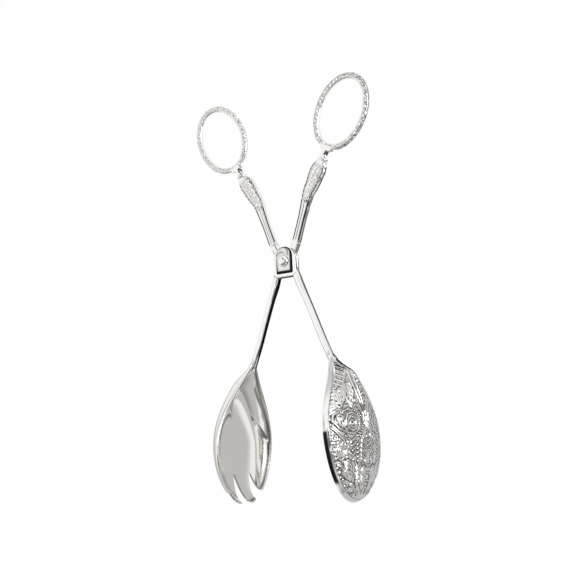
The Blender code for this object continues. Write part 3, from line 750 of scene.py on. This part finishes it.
def bowl_outline(count):
    """Shares along and half widths of the outline, evenly spaced from the tip to the root."""
    share = 0.5 + 0.5 * np.cos(pi * np.arange(2001) / 2000)
    half = bowl_half_width(share)
    runs = np.concatenate([[0], np.cumsum(np.hypot(np.diff(share) * bowl_length, np.diff(half)))])
    share = np.interp(np.arange(count + 1) / count * runs[-1], runs, share)
    return share, bowl_half_width(share)


def bowl_back(along, out):
    """How far the pressed back stands off the rim's plane."""
    return (1 - np.minimum(out, 1) ** 2.3) ** 0.55 * eased(heel_levels, along / bowl_length)


def bowl_row(inset, out, rim_count):
    """One loop of a face of the bowl: places along, out of the back and across."""
    share, half = bowl_outline(rim_count // 2)
    half = half - inset * np.sin(pi * share)
    share = np.concatenate([share, share[:0:-1]])
    half = np.concatenate([half, -half[:0:-1]])
    along = bowl_length * 0.5 + (bowl_length * 0.5 - inset) * (2 * share - 1) * out
    return np.array([along, (bowl_depth - inset) * bowl_back(along, out), half * out])


def bowl_shell(rim_count, back_outs, hollow_outs):
    """Closed shell: back from the middle out to the rim, over the rounded rim and into the hollow."""
    rows = [bowl_row(0, out, rim_count) for out in back_outs]
    hollow = [bowl_row(bowl_wall, out, rim_count) for out in hollow_outs]
    edge_back, edge_hollow = rows[-1], hollow[-1]
    for k in range(1, 6):
        turn = pi * k / 6
        row = (edge_back + edge_hollow) / 2 + (edge_back - edge_hollow) / 2 * cos(turn)
        row[1] *= 1 - sin(turn)
        rows.append(row)
    bm = skin([bowl_points(*row) for row in rows + hollow[::-1]], ends=False)
    bm.verts.ensure_lookup_table()
    count, middle = len(edge_back[0]), bowl_length * 0.5
    back_loop, hollow_loop = bm.verts[:count], bm.verts[-count:]
    for loop, height in ((back_loop, bowl_depth), (hollow_loop, bowl_depth - bowl_wall)):
        centre = bm.verts.new(bowl_points(middle, height * bowl_back(middle, 0), 0))
        for k in range(count):
            bm.faces.new((centre, loop[k], loop[k - 1]) if loop is back_loop else (centre, loop[k - 1], loop[k]))
    return bm


def bowl_tang():
    """Solid root, flattened into the bowl's trough."""
    points, outlines = [], []
    for k in range(21):
        share = k / 20
        points.append(bowl_root + shank_end_way * (10 * MM * share))
        outline = oval(rod_half_width * eased(((0, 0.96), (0.45, 0.66), (1, 0.2)), share),
                       rod_half_thickness * eased(((0, 0.96), (0.5, 1.2), (1, 1.3)), share), 2.3, 48)
        outline[:, 0] += bowl_depth * eased(((0, 0), (0.45, 0.13), (1, 0.34)), share)
        outlines.append(outline)
    return swept(points, outlines, start_scarf=scarf)


def tine_plan():
    """The fork's outline seen through the bowl, as (across, along) points."""
    slit, slit_root = 0.8 * MM, bowl_length - 20 * MM + 0.8 * MM
    outer_tip, inner_tip = 1.4 * MM, 2.8 * MM
    outer_end = bowl_length - 8.4 * MM - outer_tip
    inner_end = bowl_length - 1.2 * MM - inner_tip
    half = [(32 * MM, -2 * MM), (32 * MM, outer_end)]
    half += arc(19 * MM, outer_end, outer_tip, 0, 180, 16)
    half += arc(15 * MM, slit_root, slit, 0, -180, 16)
    half += arc(7.4 * MM, inner_end, inner_tip, 0, 180, 20)
    half += arc(0, slit_root, slit, 0, -90, 8)
    return half + [(-across, along) for across, along in reversed(half[:-1])]


def leaf_lines(root, tip, width, veins, curl=0):
    """A leaf in outline with its midrib and side veins, as chased lines in millimetres."""
    root, tip = np.array(root), np.array(tip)
    way, side = tip - root, np.array((root[1] - tip[1], tip[0] - root[0]))
    side = side / np.hypot(*side)
    share = np.linspace(0, 1, 22)
    rib = root + np.outer(share, way) + np.outer(np.sin(pi * share) * curl, side)
    lobes = width / 2 * np.sin(pi * share ** 0.8) ** 0.8 * (1 + 0.13 * np.sin(share * tau * 3))
    lines = [rib, rib + np.outer(lobes, side), rib - np.outer(lobes, side)]
    for k in range(veins):
        foot = 2 + int(16 * k / veins)
        top = min(foot + 4, 20)
        for hand in (1, -1):
            lines.append([rib[foot], rib[top] + side * lobes[top] * 0.72 * hand])
    return lines


def spoon_lines():
    """The chased lines of the spoon's back in (along, across) millimetres, for one side of the keel."""
    rosette, shell = (60.7, 23.6), 52.5
    lines = [[(9.6, 2), (15, 4.2), (21.3, 5.6), (28, 5.7), (34.7, 4.2), (39, 2.2), (42.5, 0.4)],
             [(12, 1.2), (18, 2.6), (24, 3.3), (30, 3.2), (35.5, 1.8), (39, 0)],
             [(40.6, 18.7), (38.8, 21.6), (40.3, 25), (44, 26.3), (48.2, 24), (50.6, 19.5), (51.6, 14), (50, 9.6),
              (46.4, 7.6), (42.2, 9), (39.8, 12.6), (40.2, 16.4), (43.4, 18.6), (46.6, 19.2)],
             [(53.5, 6), (58, 7.6), (63, 8.2), (69, 7.4)], [(47, 28.2), (52, 24.4), (55, 21.6)],
             [(38.4, 27.4), (42, 28.4), (46, 27.6)], [(62.5, 17.4), (65, 14.4), (69, 12.6)],
             [(36, 7.8), (38.6, 5.6), (41, 4)]]
    lines += [[(along, 0), (along + 1.6, 1.5)] for along in (16, 20, 24, 28, 32)]
    for first, second in (((7, 2.1), (12, 5.4)), ((12, 5.4), (18, 10.2)), ((18, 10.2), (23.5, 14.6))):
        first, second = np.array(first), np.array(second)
        side = np.array((first[1] - second[1], second[0] - first[0])) / np.hypot(*(second - first))
        lines += [[first + side * 1.7, second + side * 1.7], [first - side * 1.9, second - side * 1.9]]
        for k in range(2):
            foot = first + (second - first) * (k + 0.3) / 2
            lines.append([foot + side * 1.5, foot - side * 1.7 + (second - first) / 5])
    for leaf in (((22, 8.2), (37, 12.6), 5.4, 4, 1), ((25.5, 17), (37.5, 26.2), 5.2, 4, -0.8),
                 ((24.5, 12.6), (34.5, 18.4), 3.8, 3, 0.6), ((47.6, 20.4), (41.6, 23.4), 3.4, 2, 0.4),
                 ((66, 19.6), (77.5, 15.2), 5.2, 4, 1.2), ((70, 5.6), (83.4, 3.4), 5, 5, 0.8),
                 ((69.4, 11.8), (81, 9.6), 4.4, 4, -0.7)):
        lines += leaf_lines(*leaf)
    for k in range(9):
        lines.append([polar(*rosette, reach, radians(40 * k + swing))
                      for reach, swing in ((3.1, -17), (4.7, -11), (5.3, 0), (4.7, 11), (3.1, 17))])
        turn = radians(176 - 13.5 * k)
        for near, far in ((4.2, 7.4 - 0.3 * k), (8.4 - 0.3 * k, 13.6 - 0.8 * k)):
            lines.append([polar(shell, 0, near, turn), polar(shell, 0, far, turn + 0.06)])
    for k in range(6):
        foot = 54.4 + 2.3 * k
        lines += [[(foot, 6.8 + 0.2 * k), (foot + 3.4, 11.4)], [(foot, 6 + 0.2 * k), (foot + 3.6, 2.4)]]
    for k in range(5):
        foot = 53.6 + 2.6 * k
        lines.append([(foot, 12.4), (foot + 2.2, 16.8 - 0.3 * k)])
    for scroll in ((*rosette, 0.9, 0, 360), (*rosette, 2, 0, 360), (*rosette, 3.1, 0, 360), (shell, 0, 3.4, 0, 180),
                   (45.6, 13.9, 3.3, 190, 730, 40, 0.7), (35.2, 20.2, 2.2, 90, 480, 26, 0.6),
                   (56.2, 18.6, 1.9, 180, 560, 26, 0.5), (68.4, 24.6, 1.9, 0, 380, 26, 0.5),
                   (33, 7.8, 1.5, 270, 620, 26, 0.4), (73.6, 20.2, 1.6, 90, 460, 26, 0.4),
                   (53.4, 27, 1.4, 0, 360), (67, 3.2, 1.5, 180, 540, 26, 0.5), (84, 0, 2.2, 60, 180),
                   (28.4, 10.6, 1.2, 0, 330, 26, 0.4), (80.4, 13.6, 1.2, 90, 420, 26, 0.4)):
        lines.append(arc(*scroll))
    lines = [np.array(line) for line in lines]
    marks = np.concatenate([line[:-1] + (line[1:] - line[:-1]) * share for line in lines
                            for share in (0, 0.33, 0.67)])
    chance = np.random.default_rng(11)
    for along, across in chance.uniform((9, 0.4), (87, 29.5), (2600, 2)):
        room = bowl_half_width(np.array(along / (bowl_length / MM))) / MM - across
        if room < 1.4 or np.hypot(*(marks - (along, across)).T).min() < 2:
            continue
        turn = 0.9 + 0.05 * along + 0.11 * across + chance.uniform(-0.5, 0.5)
        half = chance.uniform(0.5, 1.1) * np.array((cos(turn), sin(turn)))
        stroke = np.array(((along, across) - half, (along, across), (along, across) + half))
        lines.append(stroke)
        marks = np.concatenate([marks, stroke])
    return lines


def chased(along, across):
    """Height of the chased relief and the depth of its tarnish at places in millimetres."""
    away = np.full(len(along), 9.0)
    for line in spoon_lines():
        low, high = line.min(0) - 1.6, line.max(0) + 1.6
        near = np.flatnonzero((along > low[0]) & (along < high[0]) & (across > low[1]) & (across < high[1]))
        away[near] = np.minimum(away[near], gap_to(np.stack([along[near], across[near]], 1), line))
    worn = 0.5 + 0.5 * np.sin(along * 1.7 + 2 * np.sin(across * 0.9)) * np.sin(across * 2.1 - along * 0.6)
    grain = np.sin(along * 4.9 + 1.3 * np.sin(across * 2.2)) * np.sin(across * 5.3 + 1.1 * np.sin(along * 1.9))
    height = 0.48 * hump(away, 0.72) - 0.16 * hump(away - 0.85, 0.5) + 0.07 * grain * unit(away - 0.8)
    dark = hump(away - 0.76, 0.52) * (0.4 + 1.1 * worn) + 0.8 * unit(grain - 0.55) * (away > 0.9)
    calm = np.clip((along - 8) / 19, 0.2, 1)
    return height * calm, unit(dark * calm)


def on_bowl(bm):
    """A bowl's points in millimetres along, out of the back, across and in from the rim, and their share out."""
    spots = spots_of(bm)
    radius = bowl_length / (tip_lean - root_lean)
    centre = np.array(bowl_root)[:2] + radius * np.array((cos(root_lean), sin(root_lean)))
    reach = spots[:, :2] - centre
    along = (np.arctan2(reach[:, 1], reach[:, 0]) - root_lean) * radius
    outward = np.hypot(reach[:, 0], reach[:, 1]) + radius
    share, half = bowl_outline(1200)
    from_middle = (share - 0.5) * bowl_length
    edge_turn = np.append(np.arctan2(half, from_middle), pi)
    edge_reach = np.append(np.hypot(half, from_middle), bowl_length * 0.5)
    turn = np.arctan2(np.abs(spots[:, 2]), along - bowl_length * 0.5)
    rim_reach = np.interp(turn, edge_turn, edge_reach)
    out = np.hypot(along - bowl_length * 0.5, spots[:, 2]) / rim_reach
    return along / MM, outward / MM, spots[:, 2] / MM, (1 - out) * rim_reach / MM, out


def chase_back(bm):
    """Press the chased pattern into the back of a finished spoon, mark its recesses and paint a dark reflection on
    one side's plain border.
    """
    bm.normal_update()
    along, outward, across, inner, out = on_bowl(bm)
    on_back = np.abs(outward - bowl_depth * bowl_back(along * MM, out) / MM) < 0.04
    plain = 0.75 + 0.85 * unit((along - 38) / 14)
    field = unit((inner - plain - 0.1) / 0.4) * unit((along - 6.5) / 2) * on_back
    height, dark = chased(along, np.abs(across))
    border = hump(inner - plain, 0.35) * unit((along - 8) / 3) * on_back
    for vert, value in zip(bm.verts, (height * field + 0.2 * border) * MM):
        if value != 0:
            vert.co += vert.normal * float(value)
    # Painted dark reflection on the plain border of one side of the back.
    band = (unit((3 - outward) / 0.6) * unit((1.8 - inner) / 0.3) * (across > 0)
            * unit((along - 48) / 1.5) * unit((80 - along) / 2))
    lines = dark * field + 0.6 * hump(inner - plain - 0.35, 0.3) * on_back * (along > 9)
    darken_for_tarnish_and_painted_shade(bm, np.maximum(unit(lines), band))


pressed_silver = silver("pressed_silver", (0.9, 0.88, 0.855), (0.84, 0.815, 0.79), 0.035, 0.05)
chased_silver = silver("chased_silver", (0.95, 0.94, 0.925), (0.9, 0.885, 0.865), 0.045, 0.07)
smooth_outs = np.sin(np.linspace(0, asin(last_out), 57)[1:])
plan = np.array(tine_plan())
fork_cut = skin([bowl_points(plan[:, 1], np.full(len(plan), outward), plan[:, 0])
                 for outward in (-bowl_depth, 2 * bowl_depth)])
fork = shaped(bowl_shell(320, smooth_outs, smooth_outs), ("INTERSECT", fork_cut), ("UNION", bowl_tang()))
_, outward, _, inner, _ = on_bowl(fork)
# Painted shade in a line along the inside of the fork's rim.
darken_for_tarnish_and_painted_shade(fork, 0.75 * hump(inner - 1.8, 0.6) * (outward > 0.2) * (outward < 2.4))
finished("fork", fork, "fork_arm", pressed_silver, "fork_bowl")
fine_outs = np.linspace(0, 1, 131)[1:] ** 0.9 * last_out
spoon = shaped(bowl_shell(560, fine_outs, smooth_outs[3::4]), ("UNION", bowl_tang()))
chase_back(spoon)
finished("spoon", spoon, "spoon_arm", chased_silver, "spoon_bowl")

# Camera, floor and light
# A pale seamless floor under an even white studio, and a viewing angle a little to one side. The
# metal mirrors the floor as a painted grey, with a painted brighter sheet and pool of light and a
# slanting painted dark strip.
azimuth, height, roll, distance = 0.562, -0.15359, -0.05236, 0.693
aim = Vector((0.1 * MM, -16.9 * MM, 0))
sensor, frame_pixels, focal_pixels = 36, 576, 1095
back = Vector((sin(azimuth) * cos(height), sin(height), cos(azimuth) * cos(height)))
right = Vector((0, 1, 0)).cross(back).normalized()
up = back.cross(right)
level_right = right * cos(roll) + up * sin(roll)
level_up = up * cos(roll) - right * sin(roll)
local = Matrix((level_right, level_up, back)).transposed().to_4x4()
local.translation = aim + back * distance
camera_data = bpy.data.cameras.new("camera")
camera_data.sensor_width = sensor
camera_data.lens = sensor * focal_pixels / frame_pixels
camera = linked("camera", camera_data)
camera.matrix_world = spoon_place @ local
bpy.context.scene.camera = camera

floor_mesh = bpy.data.meshes.new("floor")
floor_mesh.from_pydata([(-3, -3, 0), (3, -3, 0), (3, 3, 0), (-3, 3, 0)], [], [(0, 1, 2, 3)])
floor = linked("floor", floor_mesh)
floor.location = (0, 0, -0.2 * MM)
floor_white = bpy.data.materials.new("floor_white")
floor_white.use_nodes = True
floor_mesh.materials.append(floor_white)
floor_tree = floor_white.node_tree
floor_tree.nodes.remove(floor_tree.nodes["Principled BSDF"])


def within(tree, value, middle, half, soft):
    """One inside a band and nothing outside it, with a soft edge."""
    node = tree.nodes.new("ShaderNodeMapRange")
    node.interpolation_type = "SMOOTHSTEP"
    away = maths(tree, "ABSOLUTE", maths(tree, "SUBTRACT", value, middle))
    return fed(tree, node, {"Value": away, "From Min": half + soft,
                            "From Max": max(half - soft, 0)}).outputs["Result"]


on_floor = split(floor_tree, floor_tree.nodes.new("ShaderNodeTexCoord").outputs["Object"])


def patch(across_middle, across_half, across_soft, along_middle, along_half, along_soft, slant=0):
    """A soft-edged patch of the floor, in metres; slant leans it towards the handles."""
    beside = maths(floor_tree, "MULTIPLY_ADD", on_floor["Y"], -slant, on_floor["X"])
    return product(floor_tree, within(floor_tree, beside, across_middle, across_half, across_soft),
                   within(floor_tree, on_floor["Y"], along_middle, along_half, along_soft))


strip_slant, mirrored_floor, mirrored_light, strip_darkness, glow_share = 0.26, 0.57, 0.4, 0.98, 0.98
# Painted light and shade that only the metal sees: a brighter sheet and pool of light and a dark strip on the floor.
painted_light = maths(floor_tree, "MAXIMUM", patch(-1, 1.06, 0.012, 0.5, 0.54, 0.01),
            patch(0.006, 0.02, 0.007, -0.101, 0.013, 0.006))
painted_dark_strip = maths(floor_tree, "MAXIMUM", patch(0.015, 0.037, 0.004, -0.034, 0.044, 0.006, strip_slant),
              patch(0.028, 0.014, 0.004, 0.034, 0.04, 0.006, strip_slant))
mirrored = product(floor_tree, maths(floor_tree, "MULTIPLY_ADD", painted_light, mirrored_light, mirrored_floor),
                   maths(floor_tree, "MULTIPLY_ADD", painted_dark_strip, -strip_darkness, 1))
seen = floor_tree.nodes.new("ShaderNodeLightPath").outputs
by_eye, by_metal = seen["Is Camera Ray"], seen["Is Glossy Ray"]
matt = made(floor_tree, "ShaderNodeBsdfDiffuse", {"Color": (0.9, 0.9, 0.9, 1)})
glow = made(floor_tree, "ShaderNodeEmission", {"Strength": maths(floor_tree, "MAXIMUM", by_eye, mirrored)})
portion = maths(floor_tree, "MAXIMUM", product(floor_tree, by_eye, glow_share), by_metal)
both = made(floor_tree, "ShaderNodeMixShader", {0: portion, 1: matt.outputs[0], 2: glow.outputs[0]})
fed(floor_tree, floor_tree.nodes["Material Output"], {"Surface": both.outputs[0]})

# The studio round the object is white, greyer towards the horizon, with dark soft-edged flags that
# the metal mirrors as lines. Each flag is (bearing, height, half its breadth, half its height, soft
# edge, darkness), in degrees but for the last.
flags = ((-23, 24, 9, 38, 2, 0.85), (-92.5, 76, 69.5, 18, 2, 0.7), (34, 76, 41, 18, 2, 0.85),
         (-122, 43, 42, 17, 2, 0.7), (-72, 48, 10, 12, 2, 0.55), (-50, 53, 15, 7, 2, 0.55),
         (-64, 12, 30, 16, 6, 0.45), (108, 53, 8, 9, 3, 0.92), (122, 45, 5, 17, 4, 0.9))
horizon_half, horizon_darkness = 9, 0.42
world = bpy.data.worlds.new("studio")
world.use_nodes = True
bpy.context.scene.world = world
studio = world.node_tree
sky = split(studio, studio.nodes.new("ShaderNodeTexCoord").outputs["Generated"])
bearing = maths(studio, "DEGREES", maths(studio, "ARCTAN2", sky["Y"], sky["X"]))
raised = maths(studio, "DEGREES", maths(studio, "ARCSINE", sky["Z"]))
light = maths(studio, "MULTIPLY_ADD", within(studio, raised, 0, horizon_half, horizon_half), -horizon_darkness, 1)
for flag_bearing, flag_height, breadth, tall, soft, darkness in flags:
    turned_away = maths(studio, "WRAP", maths(studio, "SUBTRACT", bearing, flag_bearing), 180, -180)
    covered = product(studio, within(studio, turned_away, 0, breadth, soft),
                      within(studio, raised, flag_height, tall, soft))
    light = product(studio, maths(studio, "MULTIPLY_ADD", covered, -darkness, 1), light)
camera_ray = studio.nodes.new("ShaderNodeLightPath").outputs["Is Camera Ray"]
fed(studio, studio.nodes["Background"], {"Color": (1, 1, 1, 1),
                                         "Strength": maths(studio, "MAXIMUM", light, camera_ray)})

bpy.context.scene.view_settings.view_transform = "Standard"
lamp_spot = Vector((1.09, 0.29, 0.65))
lamp_data = bpy.data.lights.new("softbox", "AREA")
lamp_data.shape = "RECTANGLE"
lamp_data.size, lamp_data.size_y = 0.8, 0.5
lamp_data.energy = 6
lamp = linked("softbox", lamp_data)
lamp.location = lamp_spot
lamp.rotation_euler = lamp_spot.to_track_quat("Z", "Y").to_euler()
